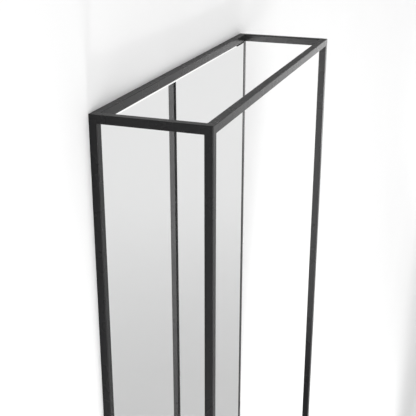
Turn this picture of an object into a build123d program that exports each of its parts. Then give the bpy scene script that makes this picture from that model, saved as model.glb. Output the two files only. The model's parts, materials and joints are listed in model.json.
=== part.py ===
from build123d import *
import os

# Open-frame bathroom cabinet with a mirror, hung on a wall. Twelve square tubes on eight corner
# connectors make the frame, the mirror fills its rear opening, and a tray lifts out of its bottom.
#
# The origin is on the wall plane, midway between the two keyholes that the cabinet hangs from.
# +X runs to the right along the wall, the room is on the -Y side and +Z is up. Millimetres.

# Overall sizes
WIDTH = 520
DEPTH = 140
HEIGHT = 800

# Square tube
TUBE = 10
TUBE_WALL = 1
TUBE_EDGE_RADIUS = 0.8

# Corner connectors: a block as thick as the tube, with a spigot into each of its three tubes
SPIGOT_LENGTH = 20
SPIGOT_CLEARANCE = 0.1  # on each side, in the tube's bore
SPIGOT_LEAD_IN = 0.8

# M3 grub screws, which lock each tube on its spigot
GRUB_RADIUS = 1.5
GRUB_LENGTH = 4
GRUB_SOCKET = 1.5  # across the flats
GRUB_SOCKET_DEPTH = 1.5
GRUB_RECESS = 0.3  # below the tube's face
GRUB_FROM_END = 10  # from the end of the tube
GRUB_HOLE_CLEARANCE = 0.2  # around the screw, in the tube's wall
THREAD_CLEARANCE = 0.05  # around each screw, in its tapped hole

# Mirror, flush with the front of the rear frame
GLASS_THICKNESS = 4
GLASS_GAP = 0.6  # all round, to the tubes
GLASS_BEVEL = 2
FILM_THICKNESS = 0.2
FILM_INSET = 1
SETTING_BLOCK_LENGTH = 40
SETTING_BLOCK_PITCH = 220

# Tabs on the rear frame, which carry the back panel and fill the depth between it and the film
TAB_REACH = 14
TAB_LENGTH = 24
TAB_CLEARANCE = 0.1  # behind the film
TAB_END_MARGIN = 110  # from the end tabs to the outside of the frame
SIDE_TABS = 3
RAIL_TABS = 2

# Back panel and the M3 screws that hold it
PANEL_THICKNESS = 1
PANEL_GAP = 0.5  # all round, to the tubes
PANEL_TO_HANGER = 0.7
PANEL_SCREW_RADIUS = 1.5
PANEL_SCREW_HEAD_RADIUS = 2.75
PANEL_SCREW_HEAD_HEIGHT = 1.2
PANEL_SCREW_SOCKET = 2
PANEL_SCREW_SOCKET_DEPTH = 0.8
PANEL_HOLE_CLEARANCE = 0.2

# Foam tape between the film and the panel
TAPE_WIDTH = 12
TAPE_STRIPS = 4
TAPE_SIDE_MARGIN = 70
TAPE_END_MARGIN = 60

# Hanger plates in the top corners of the rear frame
HANGER_WIDTH = 40
HANGER_HEIGHT = 50
HANGER_THICKNESS = 2
HANGER_CORNER_RADIUS = 4
KEYHOLE_ENTRY_RADIUS = 5
KEYHOLE_SLOT_RADIUS = 2.5
KEYHOLE_RISE = 12
KEYHOLE_DROP = 40  # from the top of the cabinet to the keyhole's entry
HEAD_ROOM = 3  # around the keyhole, in the back panel's window

# Lift-out shelf tray, on padded tabs in the bottom frame
TRAY_SHEET = 1.2
TRAY_GAP = 1
TRAY_CORNER_RADIUS = 3
TRAY_BEND_RADIUS = 0.8  # inside the bend
SHELF_TAB_LENGTH = 30
SHELF_TAB_REACH = 14
SHELF_TAB_THICKNESS = 1.5
SHELF_TAB_RECESS = 1  # above the underside of the tubes
SHELF_TAB_COLUMNS = 3
SHELF_PAD_RADIUS = 4
SHELF_PAD_THICKNESS = 1

# Directions
DOWN = Vector(0, 0, -1)
BACK = Vector(0, 1, 0)
CORNER_TOLERANCE = 0.001

# The frame's centre lines and openings
TOP = KEYHOLE_DROP
BOTTOM = TOP - HEIGHT
MIDDLE_Y = -DEPTH / 2
MIDDLE_Z = (TOP + BOTTOM) / 2
SIDES = {"left": TUBE / 2 - WIDTH / 2, "right": WIDTH / 2 - TUBE / 2}
ROWS = {"front": TUBE / 2 - DEPTH, "rear": -TUBE / 2}
LEVELS = {"bottom": BOTTOM + TUBE / 2, "top": TOP - TUBE / 2}
OPENING_WIDTH = WIDTH - 2 * TUBE
OPENING_DEPTH = DEPTH - 2 * TUBE
OPENING_HEIGHT = HEIGHT - 2 * TUBE

# Fits
BORE = TUBE - 2 * TUBE_WALL
SPIGOT = BORE - 2 * SPIGOT_CLEARANCE
GLASS_WIDTH = OPENING_WIDTH - 2 * GLASS_GAP
GLASS_HEIGHT = OPENING_HEIGHT - 2 * GLASS_GAP
GLASS_LAND = GLASS_THICKNESS - GLASS_BEVEL  # the flat part of the glass's edge

# Distances of the mirror's layers from the wall
GLASS_BACK = TUBE - GLASS_THICKNESS
FILM_BACK = GLASS_BACK - FILM_THICKNESS
TAB_FRONT = FILM_BACK - TAB_CLEARANCE
PANEL_BACK = HANGER_THICKNESS + PANEL_TO_HANGER
TAB_BACK = PANEL_BACK + PANEL_THICKNESS

# Places in the rear opening, from its centre
TAPE_PITCH = (GLASS_WIDTH - 2 * TAPE_SIDE_MARGIN) / (TAPE_STRIPS - 1)
SIDE_TAB_X = (OPENING_WIDTH - TAB_REACH) / 2
SIDE_TAB_PITCH = (HEIGHT - 2 * TAB_END_MARGIN) / (SIDE_TABS - 1)
RAIL_TAB_Z = (OPENING_HEIGHT - TAB_REACH) / 2
RAIL_TAB_PITCH = (WIDTH - 2 * TAB_END_MARGIN) / (RAIL_TABS - 1)
KEYHOLE_X = (OPENING_WIDTH - HANGER_WIDTH) / 2
KEYHOLE_Z = -MIDDLE_Z
KEYHOLE_SLOT_Z = KEYHOLE_Z + KEYHOLE_RISE / 2
WINDOW_WIDTH = 2 * (KEYHOLE_ENTRY_RADIUS + HEAD_ROOM)
HANGER_Z = (OPENING_HEIGHT - HANGER_HEIGHT) / 2

# Heights and places of the shelf's pieces
SHELF_TAB_TOP = BOTTOM + SHELF_TAB_RECESS + SHELF_TAB_THICKNESS
TRAY_BOTTOM = SHELF_TAB_TOP + SHELF_PAD_THICKNESS
TRAY_TOP = BOTTOM + TUBE
TRAY_WIDTH = OPENING_WIDTH - 2 * TRAY_GAP
TRAY_DEPTH = OPENING_DEPTH - 2 * TRAY_GAP
SHELF_TAB_PITCH = (OPENING_WIDTH - SHELF_TAB_LENGTH) / (SHELF_TAB_COLUMNS - 1)
SHELF_TAB_ROW_PITCH = OPENING_DEPTH - SHELF_TAB_REACH


def save(piece, name):
    """Labels a finished piece and writes it to its own STEP file."""
    piece.part.label = name
    export_step(piece.part, f"parts/{name}.step")


def off_the_wall(distance):
    """The plane parallel to the wall at this distance, facing the room, centred on the mirror."""
    return Plane(origin=(0, -distance, MIDDLE_Z), x_dir=(1, 0, 0), z_dir=(0, -1, 0))


def above_the_floor(height):
    """The level plane at this height, centred on the cabinet's plan."""
    return Plane(origin=(0, MIDDLE_Y, height))


def side_tab_places():
    """Where the tabs on the two rear posts go, on a plane from off_the_wall."""
    return GridLocations(2 * SIDE_TAB_X, SIDE_TAB_PITCH, 2, SIDE_TABS)


def rail_tab_places():
    """Where the tabs on the two rear rails go, on a plane from off_the_wall."""
    return GridLocations(RAIL_TAB_PITCH, 2 * RAIL_TAB_Z, RAIL_TABS, 2)


def shelf_tab_places():
    """Where the shelf's tabs and pads go, on a plane from above_the_floor."""
    return GridLocations(SHELF_TAB_PITCH, SHELF_TAB_ROW_PITCH, SHELF_TAB_COLUMNS, 2)


def make_tube(start, direction, length, screw_side):
    """A square tube from start, drilled near both ends for the grub screws on its screw_side."""
    with BuildPart() as tube:
        with BuildSketch(Plane(origin=start, x_dir=screw_side, z_dir=direction)):
            RectangleRounded(TUBE, TUBE, TUBE_EDGE_RADIUS)
            Rectangle(BORE, BORE, mode=Mode.SUBTRACT)
        extrude(amount=length)
        for along in (GRUB_FROM_END, length - GRUB_FROM_END):
            centre = start + direction * along + screw_side * (TUBE / 2)
            with BuildSketch(Plane(origin=centre, z_dir=screw_side)):
                Circle(GRUB_RADIUS + GRUB_HOLE_CLEARANCE)
            extrude(amount=-TUBE / 2, mode=Mode.SUBTRACT)
    return tube


def corners():
    """Name, centre and the three inward directions of each corner of the frame."""
    for level, z in LEVELS.items():
        for row, y in ROWS.items():
            for side, x in SIDES.items():
                across = Vector(1, 0, 0) if side == "left" else Vector(-1, 0, 0)
                through = Vector(0, 1, 0) if row == "front" else Vector(0, -1, 0)
                along = Vector(0, 0, 1) if level == "bottom" else Vector(0, 0, -1)
                yield f"{level}_{row}_{side}_corner", Vector(x, y, z), (across, through, along)


def screw_side_of(direction):
    """The hidden side of a tube: the back of a post and the underside of a rail."""
    return BACK if direction.Z else DOWN


def make_corner(centre, inward):
    """A corner block with rounded outer edges and a tapped spigot along each inward direction."""
    outer_point = centre - (inward[0] + inward[1] + inward[2]) * (TUBE / 2)
    with BuildPart() as corner:
        with Locations(centre):
            Box(TUBE, TUBE, TUBE)
        fillet(
            corner.edges().filter_by(lambda e: e.distance_to(outer_point) < CORNER_TOLERANCE),
            radius=TUBE_EDGE_RADIUS,
        )
        for direction in inward:
            side = screw_side_of(direction)
            root = centre + direction * (TUBE / 2)
            with BuildSketch(Plane(origin=root, x_dir=side, z_dir=direction)):
                Rectangle(SPIGOT, SPIGOT)
            extrude(amount=SPIGOT_LENGTH)
            tip = corner.faces().sort_by(Axis(root, direction))[-1]
            chamfer(tip.edges(), length=SPIGOT_LEAD_IN)
            mouth = root + direction * GRUB_FROM_END + side * (SPIGOT / 2)
            with BuildSketch(Plane(origin=mouth, z_dir=side)):
                Circle(GRUB_RADIUS + THREAD_CLEARANCE)
            extrude(amount=-SPIGOT / 2, mode=Mode.SUBTRACT)
    return corner


os.makedirs("parts", exist_ok=True)

# Frame tubes, between the corner blocks
for level, z in LEVELS.items():
    for row, y in ROWS.items():
        rail = make_tube(Vector(-OPENING_WIDTH / 2, y, z), Vector(1, 0, 0), OPENING_WIDTH, DOWN)
        save(rail, f"{level}_{row}_rail")
    for side, x in SIDES.items():
        rail = make_tube(Vector(x, TUBE - DEPTH, z), Vector(0, 1, 0), OPENING_DEPTH, DOWN)
        save(rail, f"{level}_{side}_rail")
for row, y in ROWS.items():
    for side, x in SIDES.items():
        post = make_tube(Vector(x, y, BOTTOM + TUBE), Vector(0, 0, 1), OPENING_HEIGHT, BACK)
        save(post, f"{row}_{side}_post")

# Corner connectors
for name, centre, inward in corners():
    save(make_corner(centre, inward), name)

# Grub screws, one for each end of each tube
with BuildPart() as frame_grub_screws:
    for _, centre, inward in corners():
        for direction in inward:
            side = screw_side_of(direction)
            along = TUBE / 2 + GRUB_FROM_END
            end_plane = Plane(
                origin=centre + direction * along + side * (TUBE / 2 - GRUB_RECESS), z_dir=side
            )
            with BuildSketch(end_plane):
                Circle(GRUB_RADIUS)
            extrude(amount=-GRUB_LENGTH)
            with BuildSketch(end_plane):
                RegularPolygon(GRUB_SOCKET / 2, 6, major_radius=False)
            extrude(amount=-GRUB_SOCKET_DEPTH, mode=Mode.SUBTRACT)
save(frame_grub_screws, "frame_grub_screws")

# Mirror glass, with a polished bevel all round its front
with BuildPart() as mirror_glass:
    with BuildSketch(off_the_wall(GLASS_BACK)):
        Rectangle(GLASS_WIDTH, GLASS_HEIGHT)
    extrude(amount=GLASS_THICKNESS)
    chamfer(mirror_glass.faces().sort_by(Axis.Y)[0].edges(), length=GLASS_BEVEL)
save(mirror_glass, "mirror_glass")

# Safety film on the back of the glass
with BuildPart() as mirror_safety_film:
    with BuildSketch(off_the_wall(FILM_BACK)):
        Rectangle(GLASS_WIDTH - 2 * FILM_INSET, GLASS_HEIGHT - 2 * FILM_INSET)
    extrude(amount=FILM_THICKNESS)
save(mirror_safety_film, "mirror_safety_film")

# Setting blocks, which carry the glass on the bottom rear rail
with BuildPart() as mirror_setting_blocks:
    with BuildSketch(Plane(origin=(0, -GLASS_BACK - GLASS_LAND / 2, BOTTOM + TUBE))):
        with GridLocations(SETTING_BLOCK_PITCH, 0, 2, 1):
            Rectangle(SETTING_BLOCK_LENGTH, GLASS_LAND)
    extrude(amount=GLASS_GAP)
save(mirror_setting_blocks, "mirror_setting_blocks")

# Foam tape, which holds the mirror to the back panel
with BuildPart() as mirror_tape_strips:
    with BuildSketch(off_the_wall(TAB_BACK)):
        with GridLocations(TAPE_PITCH, 0, TAPE_STRIPS, 1):
            Rectangle(TAPE_WIDTH, GLASS_HEIGHT - 2 * TAPE_END_MARGIN)
    extrude(amount=FILM_BACK - TAB_BACK)
save(mirror_tape_strips, "mirror_tape_strips")

# Tabs welded to the inside of the rear frame, each with a tapped hole
with BuildPart() as panel_tabs:
    with BuildSketch(off_the_wall(TAB_BACK)):
        with side_tab_places():
            Rectangle(TAB_REACH, TAB_LENGTH)
        with rail_tab_places():
            Rectangle(TAB_LENGTH, TAB_REACH)
        with side_tab_places():
            Circle(PANEL_SCREW_RADIUS + THREAD_CLEARANCE, mode=Mode.SUBTRACT)
        with rail_tab_places():
            Circle(PANEL_SCREW_RADIUS + THREAD_CLEARANCE, mode=Mode.SUBTRACT)
    extrude(amount=TAB_FRONT - TAB_BACK)
save(panel_tabs, "panel_tabs")

# Back panel, with a window behind each keyhole for the head of the wall screw
with BuildPart() as back_panel:
    with BuildSketch(off_the_wall(PANEL_BACK)):
        Rectangle(OPENING_WIDTH - 2 * PANEL_GAP, OPENING_HEIGHT - 2 * PANEL_GAP)
        with side_tab_places():
            Circle(PANEL_SCREW_RADIUS + PANEL_HOLE_CLEARANCE, mode=Mode.SUBTRACT)
        with rail_tab_places():
            Circle(PANEL_SCREW_RADIUS + PANEL_HOLE_CLEARANCE, mode=Mode.SUBTRACT)
        with Locations((-KEYHOLE_X, KEYHOLE_SLOT_Z), (KEYHOLE_X, KEYHOLE_SLOT_Z)):
            SlotCenterToCenter(KEYHOLE_RISE, WINDOW_WIDTH, rotation=90, mode=Mode.SUBTRACT)
    extrude(amount=PANEL_THICKNESS)
save(back_panel, "back_panel")

# Low-head screws from the back panel into the tabs
with BuildPart() as panel_screws:
    with BuildSketch(off_the_wall(PANEL_BACK)):
        with side_tab_places():
            Circle(PANEL_SCREW_RADIUS)
        with rail_tab_places():
            Circle(PANEL_SCREW_RADIUS)
    extrude(amount=TAB_FRONT - PANEL_BACK)
    with BuildSketch(off_the_wall(PANEL_BACK - PANEL_SCREW_HEAD_HEIGHT)):
        with side_tab_places():
            Circle(PANEL_SCREW_HEAD_RADIUS)
        with rail_tab_places():
            Circle(PANEL_SCREW_HEAD_RADIUS)
    extrude(amount=PANEL_SCREW_HEAD_HEIGHT)
    with BuildSketch(off_the_wall(PANEL_BACK - PANEL_SCREW_HEAD_HEIGHT)):
        with side_tab_places():
            RegularPolygon(PANEL_SCREW_SOCKET / 2, 6, major_radius=False)
        with rail_tab_places():
            RegularPolygon(PANEL_SCREW_SOCKET / 2, 6, major_radius=False)
    extrude(amount=PANEL_SCREW_SOCKET_DEPTH, mode=Mode.SUBTRACT)
save(panel_screws, "panel_screws")

# Hanger plates, welded into the top corners of the rear frame, with the keyhole's slot above its entry
for side, sign in {"left": -1, "right": 1}.items():
    with BuildPart() as hanger_plate:
        with BuildSketch(off_the_wall(0)):
            with Locations((sign * KEYHOLE_X, HANGER_Z)):
                plate = Rectangle(HANGER_WIDTH, HANGER_HEIGHT)
            fillet(
                plate.vertices().sort_by_distance((0, 0))[0],
                radius=HANGER_CORNER_RADIUS,
            )
            with Locations((sign * KEYHOLE_X, KEYHOLE_Z)):
                Circle(KEYHOLE_ENTRY_RADIUS, mode=Mode.SUBTRACT)
            with Locations((sign * KEYHOLE_X, KEYHOLE_SLOT_Z)):
                SlotCenterToCenter(
                    KEYHOLE_RISE, 2 * KEYHOLE_SLOT_RADIUS, rotation=90, mode=Mode.SUBTRACT
                )
        extrude(amount=HANGER_THICKNESS)
    save(hanger_plate, f"{side}_hanger_plate")

# Tabs for the shelf, welded to the inside of the bottom front and rear rails
with BuildPart() as shelf_tabs:
    with BuildSketch(above_the_floor(SHELF_TAB_TOP)):
        with shelf_tab_places():
            Rectangle(SHELF_TAB_LENGTH, SHELF_TAB_REACH)
    extrude(amount=-SHELF_TAB_THICKNESS)
save(shelf_tabs, "shelf_tabs")

# Pads on the shelf's tabs
with BuildPart() as shelf_pads:
    with BuildSketch(above_the_floor(SHELF_TAB_TOP)):
        with shelf_tab_places():
            Circle(SHELF_PAD_RADIUS)
    extrude(amount=SHELF_PAD_THICKNESS)
save(shelf_pads, "shelf_pads")

# Shelf tray of folded sheet, its rim level with the top of the bottom rails
with BuildPart() as shelf_tray:
    with BuildSketch(above_the_floor(TRAY_BOTTOM)):
        RectangleRounded(TRAY_WIDTH, TRAY_DEPTH, TRAY_CORNER_RADIUS)
    extrude(amount=TRAY_TOP - TRAY_BOTTOM)
    fillet(shelf_tray.faces().sort_by(Axis.Z)[0].edges(), radius=TRAY_BEND_RADIUS + TRAY_SHEET)
    with BuildSketch(above_the_floor(TRAY_BOTTOM + TRAY_SHEET)):
        RectangleRounded(
            TRAY_WIDTH - 2 * TRAY_SHEET, TRAY_DEPTH - 2 * TRAY_SHEET, TRAY_CORNER_RADIUS - TRAY_SHEET
        )
    extrude(amount=TRAY_TOP - TRAY_BOTTOM - TRAY_SHEET, mode=Mode.SUBTRACT)
    floor = shelf_tray.faces().filter_by(Axis.Z).sort_by(Axis.Z)[1]
    fillet(floor.edges(), radius=TRAY_BEND_RADIUS)
save(shelf_tray, "shelf_tray")
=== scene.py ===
import json
import math

import bmesh
import bpy
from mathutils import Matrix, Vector


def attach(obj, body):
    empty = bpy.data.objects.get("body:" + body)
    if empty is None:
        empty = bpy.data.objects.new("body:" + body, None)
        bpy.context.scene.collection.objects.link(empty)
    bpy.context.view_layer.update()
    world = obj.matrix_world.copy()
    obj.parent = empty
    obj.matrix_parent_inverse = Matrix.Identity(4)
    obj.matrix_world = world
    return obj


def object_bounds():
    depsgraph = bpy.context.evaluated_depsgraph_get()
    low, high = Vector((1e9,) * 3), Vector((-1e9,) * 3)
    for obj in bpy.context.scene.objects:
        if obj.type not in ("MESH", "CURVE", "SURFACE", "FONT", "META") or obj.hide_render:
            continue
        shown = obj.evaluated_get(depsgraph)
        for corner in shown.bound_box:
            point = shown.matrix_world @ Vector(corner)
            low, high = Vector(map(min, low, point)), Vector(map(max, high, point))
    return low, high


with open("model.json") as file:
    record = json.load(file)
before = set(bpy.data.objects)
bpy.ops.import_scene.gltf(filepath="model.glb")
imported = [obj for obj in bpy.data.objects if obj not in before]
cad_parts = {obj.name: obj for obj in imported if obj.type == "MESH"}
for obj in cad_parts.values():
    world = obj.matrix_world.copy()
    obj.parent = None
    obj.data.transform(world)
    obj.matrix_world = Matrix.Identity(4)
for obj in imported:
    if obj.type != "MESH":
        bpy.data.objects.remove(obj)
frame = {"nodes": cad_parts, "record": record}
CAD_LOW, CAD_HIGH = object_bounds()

# All lengths are in metres and all angles in degrees.

# The camera, placed from the cabinet's top left rear corner
CAMERA_OFFSET = Vector((-0.788, -0.4196, 0.2370))
CAMERA_YAW = 70.10  # from the wall's normal towards the right
CAMERA_PITCH = 21.21  # below the horizon
CAMERA_LENS = 74.92  # millimetres
CAMERA_SENSOR = 36.0  # millimetres
CAMERA_REACH = 50.0

# Black powder coat
PAINT_TONES = (0.0072, 0.0072, 0.0075), (0.0084, 0.0084, 0.0088)
PAINT_TONE_CELL = 0.012
PAINT_ROUGHNESS = 0.265, 0.29
PAINT_ROUGHNESS_CELL = 0.03
PAINT_IOR = 1.28
PEEL_CELL, PEEL_DEPTH = 0.0016, 0.000004
GRAIN_CELL, GRAIN_DEPTH = 0.0003, 0.000001

# Mirror
SILVER_TONES = (0.898, 0.902, 0.901), (0.908, 0.912, 0.911)
SILVER_CELL = 0.15
SMEAR_ROUGHNESS = 0.0, 0.012
SMEAR_CELL = 0.05
GROUND_EDGE_TONE = (0.10, 0.22, 0.17)
GROUND_EDGE_ROUGHNESS = 0.25
SILVER_NORMAL_Y = -0.5  # faces that look further into the room than this are silvered

# Galvanised sheet
CRYSTAL_CELL = 0.006
CRYSTAL_TONES = (0.46, 0.47, 0.48), (0.60, 0.61, 0.62)
CRYSTAL_ROUGHNESS = 0.34, 0.5
STAIN_TONE = (0.52, 0.53, 0.53)
STAIN_CELL = 0.09
ZINC_METALLIC = 0.9
ZINC_GRAIN_CELL, ZINC_GRAIN_DEPTH = 0.0007, 0.000008

# Plated screws
PLATED_TONE_CELL = 0.004
PLATED_ROUGHNESS = 0.22, 0.38
PLATED_GRAIN_CELL, PLATED_GRAIN_DEPTH = 0.0008, 0.000004
DRAWN_STRETCH = (1, 1, 0.2)

# Rubber, foam and film
SOFT_ROUGHNESS_CELLS = 3  # times the grain's cell
SOFT_ROUGHNESS_RANGE = 0.08

# Silicone pads
SILICONE_TONES = (0.82, 0.84, 0.84), (0.74, 0.76, 0.77)
SILICONE_TONE_CELL = 0.002
SILICONE_ROUGHNESS = 0.28, 0.4
SILICONE_ROUGHNESS_CELL = 0.001
SILICONE_DEPTH = 0.002
SILICONE_MILKINESS = 0.3

# The middle of the range of a noise texture, which spread() stretches
NOISE_LOW, NOISE_HIGH = 0.3, 0.7

# Weld beads
MERGE_DISTANCE = 0.000001
BEAD_LEG = 0.0009
BEAD_SINK = 0.0001  # into the tab and the rail
BEAD_PITCH = 0.0012  # from ripple to ripple
BEAD_RIPPLE = 0.12  # of the leg
BEAD_TIP = 0.04  # square of the leg left at each end
BEAD_END_MARGIN = 0.002
BEAD_STEPS = 120
BEAD_ARC_STEPS = 5

# The stage
WALL_GAP = 0.0003
WALL_CUT_MARGIN = 0.0005
WALL_TONES = (0.735, 0.735, 0.735), (0.755, 0.755, 0.755)
WALL_MOTTLE_CELL = 0.3
WALL_ROUGHNESS = 0.8
# Painted shade: the wall's colour as reflections see it, darker than the wall itself
WALL_PAINTED_REFLECTION_SHADE_TONES = (0.56, 0.56, 0.56), (0.20, 0.20, 0.20)  # left and right
WALL_DIM_FROM, WALL_DIM_TO = -0.3, 0.6  # between them, along X
FLOOR_DROP = 3.0  # below the cabinet
FLOOR_SIDE = 60.0
# Painted shade: the floor is darker near the cabinet and lighter far off
FLOOR_PAINTED_SHADE_TONES = (0.520, 0.520, 0.520), (0.765, 0.765, 0.765)  # near and far
FLOOR_DARK_UNTIL, FLOOR_LIGHT_FROM = 2.0, 10.0  # from the cabinet
FLOOR_ROUGHNESS = 0.45, 0.5
FLOOR_ROUGHNESS_CELL = 0.4
FLOOR_IOR = 1.2
STAGE_LEFT, STAGE_RIGHT = -6.0, 9.0
STAGE_FRONT = 60.0
STAGE_HEIGHT = 3.0  # above the cabinet's top
COVE_RADIUS = 0.5
COVE_STEPS = 24

# The brightness of the room at eye level and overhead, and where overhead begins
ROOM_LIGHT = 0.85
CEILING_LIGHT = 1.15
CEILING_FROM = 0.4  # height of a direction of length 1


# ---------------------------------------------------------------- node helpers


def new_material(name):
    """A node material with an empty Principled shader: the material, its tree and the shader."""
    made = bpy.data.materials.new(name)
    made.use_nodes = True
    tree = made.node_tree
    tree.nodes.clear()
    out = tree.nodes.new("ShaderNodeOutputMaterial")
    shader = tree.nodes.new("ShaderNodeBsdfPrincipled")
    tree.links.new(shader.outputs["BSDF"], out.inputs["Surface"])
    return made, tree, shader


def place(tree, stretch=(1, 1, 1)):
    """The point's place on the object in metres, stretched along each axis."""
    where = tree.nodes.new("ShaderNodeTexCoord")
    mapping = tree.nodes.new("ShaderNodeMapping")
    mapping.inputs["Scale"].default_value = stretch
    tree.links.new(where.outputs["Object"], mapping.inputs["Vector"])
    return mapping.outputs["Vector"]


def component(tree, vector, axis):
    """One component, X, Y or Z, of the vector that a node gives."""
    made = tree.nodes.new("ShaderNodeSeparateXYZ")
    tree.links.new(vector, made.inputs["Vector"])
    return made.outputs[axis]


def noise(tree, cell, detail=2.0, stretch=(1, 1, 1)):
    """Noise from 0 to 1, with cells of about this size."""
    made = tree.nodes.new("ShaderNodeTexNoise")
    made.inputs["Scale"].default_value = 1 / cell
    made.inputs["Detail"].default_value = detail
    tree.links.new(place(tree, stretch), made.inputs["Vector"])
    return made.outputs["Fac"]


def change_range(tree, value, old, new=(0, 1), interpolation="LINEAR"):
    """A number that goes over the new range as the value goes over the old one."""
    made = tree.nodes.new("ShaderNodeMapRange")
    made.interpolation_type = interpolation
    made.inputs["From Min"].default_value, made.inputs["From Max"].default_value = old
    made.inputs["To Min"].default_value, made.inputs["To Max"].default_value = new
    tree.links.new(value, made.inputs["Value"])
    return made.outputs["Result"]


def spread(tree, factor, new):
    """A number that goes over the new range as a noise goes over the middle of its own."""
    return change_range(tree, factor, (NOISE_LOW, NOISE_HIGH), new)


def blend_colours(tree, factor, first, second):
    """A colour between first and second. Each is a colour or the output of another node."""
    made = tree.nodes.new("ShaderNodeMix")
    made.data_type = "RGBA"
    for socket, value in ((made.inputs["A"], first), (made.inputs["B"], second)):
        if isinstance(value, tuple):
            socket.default_value = (*value, 1)
        else:
            tree.links.new(value, socket)
    tree.links.new(factor, made.inputs["Factor"])
    return made.outputs["Result"]


def bump(tree, shader, height, depth, after=None):
    """Adds relief of this depth to the shader, on top of an earlier bump."""
    made = tree.nodes.new("ShaderNodeBump")
    made.inputs["Distance"].default_value = depth
    made.inputs["Strength"].default_value = 1
    tree.links.new(height, made.inputs["Height"])
    if after:
        tree.links.new(after, made.inputs["Normal"])
    tree.links.new(made.outputs["Normal"], shader.inputs["Normal"])
    return made.outputs["Normal"]


# ---------------------------------------------------------------- materials


def powder_coat(name):
    """Satin black powder coat: a fine orange peel and grain, a little uneven in tone and gloss."""
    made, tree, shader = new_material(name)
    tone = blend_colours(tree, noise(tree, PAINT_TONE_CELL, 4), *PAINT_TONES)
    gloss = spread(tree, noise(tree, PAINT_ROUGHNESS_CELL, 3), PAINT_ROUGHNESS)
    tree.links.new(tone, shader.inputs["Base Color"])
    tree.links.new(gloss, shader.inputs["Roughness"])
    shader.inputs["IOR"].default_value = PAINT_IOR
    peel = bump(tree, shader, noise(tree, PEEL_CELL, 2), PEEL_DEPTH)
    bump(tree, shader, noise(tree, GRAIN_CELL, 1), GRAIN_DEPTH, after=peel)
    return made


def mirror_glass():
    """Silvered glass: a clean mirror in front and on the bevel, green on the ground edges."""
    made, tree, shader = new_material("mirror")
    geometry = tree.nodes.new("ShaderNodeNewGeometry")
    front = tree.nodes.new("ShaderNodeMath")
    front.operation = "LESS_THAN"
    front.inputs[1].default_value = SILVER_NORMAL_Y
    tree.links.new(component(tree, geometry.outputs["True Normal"], "Y"), front.inputs[0])
    silver = blend_colours(tree, noise(tree, SILVER_CELL, 2), *SILVER_TONES)
    colour = blend_colours(tree, front.outputs["Value"], GROUND_EDGE_TONE, silver)
    tree.links.new(colour, shader.inputs["Base Color"])
    tree.links.new(front.outputs["Value"], shader.inputs["Metallic"])
    ground = tree.nodes.new("ShaderNodeMix")
    ground.inputs["A"].default_value = GROUND_EDGE_ROUGHNESS
    tree.links.new(front.outputs["Value"], ground.inputs["Factor"])
    smear = spread(tree, noise(tree, SMEAR_CELL, 4), SMEAR_ROUGHNESS)
    tree.links.new(smear, ground.inputs["B"])
    tree.links.new(ground.outputs["Result"], shader.inputs["Roughness"])
    return made


def galvanised():
    """Galvanised sheet: zinc crystals of a few millimetres, each with its own tone and gloss."""
    made, tree, shader = new_material("galvanised_sheet")
    crystals = tree.nodes.new("ShaderNodeTexVoronoi")
    crystals.inputs["Scale"].default_value = 1 / CRYSTAL_CELL
    tree.links.new(place(tree), crystals.inputs["Vector"])
    apart = tree.nodes.new("ShaderNodeSeparateColor")
    tree.links.new(crystals.outputs["Color"], apart.inputs["Color"])
    tone = blend_colours(tree, apart.outputs["Red"], *CRYSTAL_TONES)
    stained = blend_colours(tree, noise(tree, STAIN_CELL, 5), tone, STAIN_TONE)
    gloss = spread(tree, apart.outputs["Green"], CRYSTAL_ROUGHNESS)
    tree.links.new(stained, shader.inputs["Base Color"])
    tree.links.new(gloss, shader.inputs["Roughness"])
    shader.inputs["Metallic"].default_value = ZINC_METALLIC
    bump(tree, shader, noise(tree, ZINC_GRAIN_CELL, 3), ZINC_GRAIN_DEPTH)
    return made


def plated(name, light, dark):
    """Plated steel: fine drawn grain with a mottled tone."""
    made, tree, shader = new_material(name)
    tone = blend_colours(tree, noise(tree, PLATED_TONE_CELL, 4), light, dark)
    gloss = spread(tree, noise(tree, PLATED_GRAIN_CELL, 3), PLATED_ROUGHNESS)
    tree.links.new(tone, shader.inputs["Base Color"])
    tree.links.new(gloss, shader.inputs["Roughness"])
    shader.inputs["Metallic"].default_value = 1.0
    grain = noise(tree, PLATED_GRAIN_CELL, 3, DRAWN_STRETCH)
    bump(tree, shader, grain, PLATED_GRAIN_DEPTH)
    return made


def soft(name, light, dark, cell, depth, rough=0.8):
    """Rubber, foam or film: matt, with a grain of this cell size and depth."""
    made, tree, shader = new_material(name)
    tone = blend_colours(tree, noise(tree, cell, 3), light, dark)
    mottle = noise(tree, cell * SOFT_ROUGHNESS_CELLS, 2)
    gloss = spread(tree, mottle, (rough - SOFT_ROUGHNESS_RANGE, rough))
    tree.links.new(tone, shader.inputs["Base Color"])
    tree.links.new(gloss, shader.inputs["Roughness"])
    bump(tree, shader, noise(tree, cell, 2), depth)
    return made


def silicone():
    """Clear silicone pads, milky in their thickness."""
    made, tree, shader = new_material("clear_silicone")
    milk = blend_colours(tree, noise(tree, SILICONE_TONE_CELL, 2), *SILICONE_TONES)
    gloss = spread(tree, noise(tree, SILICONE_ROUGHNESS_CELL, 2), SILICONE_ROUGHNESS)
    tree.links.new(milk, shader.inputs["Base Color"])
    tree.links.new(gloss, shader.inputs["Roughness"])
    shader.inputs["Subsurface Weight"].default_value = SILICONE_MILKINESS
    shader.inputs["Subsurface Radius"].default_value = (SILICONE_DEPTH,) * 3
    return made


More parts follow.
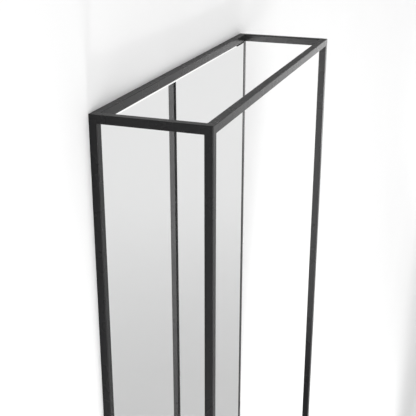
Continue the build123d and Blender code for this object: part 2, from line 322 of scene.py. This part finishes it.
def dress_nodes():
    """Gives each CAD node the material of its slot in the record."""
    finishes = {
        "frame_paint": powder_coat("frame_paint"),
        "shelf_paint": powder_coat("shelf_paint"),
        "mirror": mirror_glass(),
        "safety_film": soft(
            "safety_film",
            light=(0.42, 0.45, 0.48),
            dark=(0.36, 0.39, 0.42),
            cell=0.004,
            depth=0.000004,
            rough=0.5,
        ),
        "foam_tape": soft(
            "foam_tape",
            light=(0.13, 0.13, 0.13),
            dark=(0.09, 0.09, 0.09),
            cell=0.0006,
            depth=0.00004,
            rough=0.9,
        ),
        "setting_rubber": soft(
            "setting_rubber",
            light=(0.03, 0.03, 0.03),
            dark=(0.02, 0.02, 0.02),
            cell=0.001,
            depth=0.00001,
        ),
        "clear_silicone": silicone(),
        "galvanised_sheet": galvanised(),
        "zinc_screw_steel": plated(
            "zinc_screw_steel", light=(0.66, 0.66, 0.67), dark=(0.56, 0.56, 0.57)
        ),
        "black_screw_steel": plated(
            "black_screw_steel", light=(0.05, 0.05, 0.05), dark=(0.03, 0.03, 0.03)
        ),
    }
    for part in frame["record"]["subparts"]:
        node = frame["nodes"][part["node"]]
        node.data.materials.clear()
        node.data.materials.append(finishes[part["material_slot"]])


# ---------------------------------------------------------------- welds


def solid_boxes(node):
    """The lowest and highest corners of each separate solid of a CAD node."""
    mesh = bmesh.new()
    mesh.from_mesh(frame["nodes"][node].data)
    bmesh.ops.remove_doubles(mesh, verts=mesh.verts, dist=MERGE_DISTANCE)
    waiting = set(mesh.verts)
    boxes = []
    while waiting:
        reached = [waiting.pop()]
        for vert in reached:
            for edge in vert.link_edges:
                other = edge.other_vert(vert)
                if other in waiting:
                    waiting.remove(other)
                    reached.append(other)
        low = Vector(min(vert.co[axis] for vert in reached) for axis in range(3))
        high = Vector(max(vert.co[axis] for vert in reached) for axis in range(3))
        boxes.append((low, high))
    mesh.free()
    return boxes


def bead_loops(corner, inward, length):
    """The cross-sections of a weld bead along +X, in the corner under a tab."""
    for step in range(BEAD_STEPS + 1):
        along = step / BEAD_STEPS
        ripple = math.cos(2 * math.pi * along * length / BEAD_PITCH)
        height = 1 - BEAD_RIPPLE * (0.5 + 0.5 * ripple)
        end = min(1, math.sqrt(min(along, 1 - along) * length / BEAD_LEG + BEAD_TIP))
        leg = BEAD_LEG * height * end
        loop = [corner + Vector((along * length, -inward * BEAD_SINK, BEAD_SINK))]
        for turn in range(BEAD_ARC_STEPS + 1):
            angle = math.radians(90 * turn / BEAD_ARC_STEPS)
            across = leg * math.cos(angle) * inward
            loop.append(corner + Vector((along * length, across, -leg * math.sin(angle))))
        yield loop


def add_bead(mesh, low, high):
    """A bead under the tab that fills this box, along the rail that the tab is welded to."""
    at_front = high.y < (CAD_LOW.y + CAD_HIGH.y) / 2
    rail_y, inward = (low.y, 1) if at_front else (high.y, -1)
    start = Vector((low.x + BEAD_END_MARGIN, rail_y, low.z))
    length = high.x - low.x - 2 * BEAD_END_MARGIN
    rings = [
        [mesh.verts.new(point) for point in loop] for loop in bead_loops(start, inward, length)
    ]
    for near, far in zip(rings, rings[1:]):
        for index in range(len(near)):
            after = (index + 1) % len(near)
            mesh.faces.new((near[index], near[after], far[after], far[index]))
    mesh.faces.new(rings[0])
    mesh.faces.new(list(reversed(rings[-1])))


def new_piece(name, mesh, material):
    """An object in the scene from a bmesh, which is used up."""
    data = bpy.data.meshes.new(name)
    mesh.to_mesh(data)
    mesh.free()
    data.materials.append(material)
    piece = bpy.data.objects.new(name, data)
    bpy.context.scene.collection.objects.link(piece)
    return piece


def build_shelf_welds():
    """Small ripple beads under the shelf's tabs, where they meet the bottom rails."""
    mesh = bmesh.new()
    for low, high in solid_boxes("shelf_tabs"):
        add_bead(mesh, low, high)
    bmesh.ops.recalc_face_normals(mesh, faces=mesh.faces)
    for face in mesh.faces:
        face.smooth = len(face.verts) == 4
    welds = new_piece("shelf_tab_welds", mesh, powder_coat("weld_paint"))
    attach(welds, "frame")


# ---------------------------------------------------------------- stage


def see_through_from_behind(tree, shader):
    """Lets the stage be seen from its front only, so that the cabinet shows from behind."""
    clear = tree.nodes.new("ShaderNodeBsdfTransparent")
    which = tree.nodes.new("ShaderNodeNewGeometry")
    either = tree.nodes.new("ShaderNodeMixShader")
    out = next(n for n in tree.nodes if n.type == "OUTPUT_MATERIAL")
    tree.links.new(which.outputs["Backfacing"], either.inputs["Fac"])
    tree.links.new(shader.outputs["BSDF"], either.inputs[1])
    tree.links.new(clear.outputs["BSDF"], either.inputs[2])
    tree.links.new(either.outputs["Shader"], out.inputs["Surface"])


def white_wall():
    """Matt white paint, faintly mottled. Reflections show it with painted shade: dimmer, most of
    all on the right.
    """
    made, tree, shader = new_material("white_wall")
    tone = blend_colours(tree, noise(tree, WALL_MOTTLE_CELL, 3), *WALL_TONES)
    across = component(tree, place(tree), "X")
    reflection_shade_ramp = change_range(tree, across, (WALL_DIM_FROM, WALL_DIM_TO))
    reflected = blend_colours(tree, reflection_shade_ramp, *WALL_PAINTED_REFLECTION_SHADE_TONES)
    ray = tree.nodes.new("ShaderNodeLightPath")
    # Glossy rays see the painted reflection shade instead of the wall's own tone
    seen = blend_colours(tree, ray.outputs["Is Glossy Ray"], tone, reflected)
    tree.links.new(seen, shader.inputs["Base Color"])
    shader.inputs["Roughness"].default_value = WALL_ROUGHNESS
    see_through_from_behind(tree, shader)
    return made


def pale_floor():
    """Satin pale floor, lighter away from the wall: its darkening near the wall is painted shade.
    """
    made, tree, shader = new_material("pale_floor")
    distance = tree.nodes.new("ShaderNodeVectorMath")
    distance.operation = "LENGTH"
    tree.links.new(place(tree, (1, 1, 0)), distance.inputs[0])
    # Painted shade that lifts with distance from the cabinet
    shade_ramp = change_range(
        tree,
        distance.outputs["Value"],
        (FLOOR_DARK_UNTIL, FLOOR_LIGHT_FROM),
        interpolation="SMOOTHSTEP",
    )
    gloss = spread(tree, noise(tree, FLOOR_ROUGHNESS_CELL, 3), FLOOR_ROUGHNESS)
    tree.links.new(blend_colours(tree, shade_ramp, *FLOOR_PAINTED_SHADE_TONES), shader.inputs["Base Color"])
    tree.links.new(gloss, shader.inputs["Roughness"])
    shader.inputs["IOR"].default_value = FLOOR_IOR
    see_through_from_behind(tree, shader)
    return made


def stage_piece(name, faces, material):
    """A backdrop mesh from a list of four-cornered faces."""
    mesh = bmesh.new()
    for corners in faces:
        mesh.faces.new([mesh.verts.new(corner) for corner in corners])
    new_piece(name, mesh, material)


def wall_faces(wall_y, low_z, high_z):
    """The wall, with a hole behind the cabinet so that its back is lit too."""
    cut_x = (CAD_LOW.x + WALL_CUT_MARGIN, CAD_HIGH.x - WALL_CUT_MARGIN)
    cut_z = (CAD_LOW.z + WALL_CUT_MARGIN, CAD_HIGH.z - WALL_CUT_MARGIN)
    patches = (
        (STAGE_LEFT, cut_x[0], low_z, high_z),
        (cut_x[1], STAGE_RIGHT, low_z, high_z),
        (*cut_x, low_z, cut_z[0]),
        (*cut_x, cut_z[1], high_z),
    )
    return [
        [(x0, wall_y, z0), (x1, wall_y, z0), (x1, wall_y, z1), (x0, wall_y, z1)]
        for x0, x1, z0, z1 in patches
    ]


def cove_faces(wall_y, floor_z):
    """The rounded foot of the wall."""
    profile = []
    for step in range(COVE_STEPS + 1):
        angle = math.radians(90 * step / COVE_STEPS)
        forward = COVE_RADIUS * (1 - math.cos(angle))
        up = COVE_RADIUS * (1 - math.sin(angle))
        profile.append((wall_y - forward, floor_z + up))
    return [
        [(STAGE_LEFT, y1, z1), (STAGE_RIGHT, y1, z1), (STAGE_RIGHT, y0, z0), (STAGE_LEFT, y0, z0)]
        for (y0, z0), (y1, z1) in zip(profile, profile[1:])
    ]


def build_stage():
    """A white wall that runs into a pale floor."""
    wall_y = CAD_HIGH.y + WALL_GAP
    floor_z = CAD_LOW.z - FLOOR_DROP
    wall = wall_faces(wall_y, floor_z + COVE_RADIUS, CAD_HIGH.z + STAGE_HEIGHT)
    stage_piece("studio_wall", wall + cove_faces(wall_y, floor_z), white_wall())
    floor = [
        (-FLOOR_SIDE, -STAGE_FRONT, floor_z),
        (FLOOR_SIDE, -STAGE_FRONT, floor_z),
        (FLOOR_SIDE, wall_y - COVE_RADIUS, floor_z),
        (-FLOOR_SIDE, wall_y - COVE_RADIUS, floor_z),
    ]
    stage_piece("studio_floor", [floor], pale_floor())


# ---------------------------------------------------------------- light and camera


def sky():
    """A white room, brighter overhead than at eye level."""
    world = bpy.data.worlds.new("white_room")
    bpy.context.scene.world = world
    world.use_nodes = True
    tree = world.node_tree
    background = tree.nodes["Background"]
    where = tree.nodes.new("ShaderNodeTexCoord")
    level = change_range(
        tree,
        component(tree, where.outputs["Generated"], "Z"),
        (0, CEILING_FROM),
        (ROOM_LIGHT, CEILING_LIGHT),
        interpolation="SMOOTHSTEP",
    )
    tree.links.new(level, background.inputs["Strength"])
    background.inputs["Color"].default_value = (1, 1, 1, 1)


def turn_towards(thing, spot, direction):
    """Puts a lamp or camera at this spot, looking in this direction."""
    thing.location = spot
    thing.rotation_mode = "QUATERNION"
    thing.rotation_quaternion = direction.to_track_quat("-Z", "Y")


def softbox(name, spot, aim, size, watts, spread_angle=180, reflected=True):
    """A soft light of this width and height. The camera never sees it, reflections may."""
    data = bpy.data.lights.new(name, "AREA")
    data.shape = "RECTANGLE"
    data.size, data.size_y = size
    data.energy = watts
    data.spread = math.radians(spread_angle)
    lamp = bpy.data.objects.new(name, data)
    bpy.context.scene.collection.objects.link(lamp)
    turn_towards(lamp, spot, Vector(aim) - Vector(spot))
    lamp.visible_camera = False
    lamp.visible_glossy = reflected


def build_lights():
    """Soft light from the front and both sides, and from low down, which shades the wall.

    The low lamps are left out of reflections, where they would show as bright specks.
    """
    middle = (CAD_LOW + CAD_HIGH) / 2
    softbox("key_softbox", spot=(1.6, -3.8, -0.4), aim=middle, size=(1.8, 1.8), watts=12)
    softbox(
        "left_softbox",
        spot=(-2.2, -0.95, -1.5),
        aim=(0, -0.3, -1.3),
        size=(0.8, 2.6),
        watts=21,
        spread_angle=80,
    )
    softbox("right_softbox", spot=(4.0, -0.5, -0.7), aim=middle, size=(0.6, 1.2), watts=7)
    softbox(
        "low_left_softbox",
        spot=(-0.3, -0.52, -3.2),
        aim=(-0.3, -0.1, 0),
        size=(0.6, 0.25),
        watts=125,
        reflected=False,
    )
    softbox(
        "low_right_softbox",
        spot=(2.4, -0.6, -3.2),
        aim=(2.0, 0, -0.3),
        size=(1.2, 0.4),
        watts=17,
        reflected=False,
    )


def build_camera():
    """The camera at the photograph's place and angle."""
    data = bpy.data.cameras.new("camera")
    data.lens = CAMERA_LENS
    data.sensor_width = CAMERA_SENSOR
    data.clip_end = CAMERA_REACH
    camera = bpy.data.objects.new("camera", data)
    bpy.context.scene.collection.objects.link(camera)
    corner = Vector((CAD_LOW.x, CAD_HIGH.y, CAD_HIGH.z))
    yaw, pitch = math.radians(CAMERA_YAW), math.radians(CAMERA_PITCH)
    ahead = Vector(
        (math.sin(yaw) * math.cos(pitch), math.cos(yaw) * math.cos(pitch), -math.sin(pitch))
    )
    turn_towards(camera, corner + CAMERA_OFFSET, ahead)
    bpy.context.scene.camera = camera


build_camera()
sky()
build_lights()
build_stage()
dress_nodes()
build_shelf_welds()

bpy.context.scene.view_settings.view_transform = "Standard"
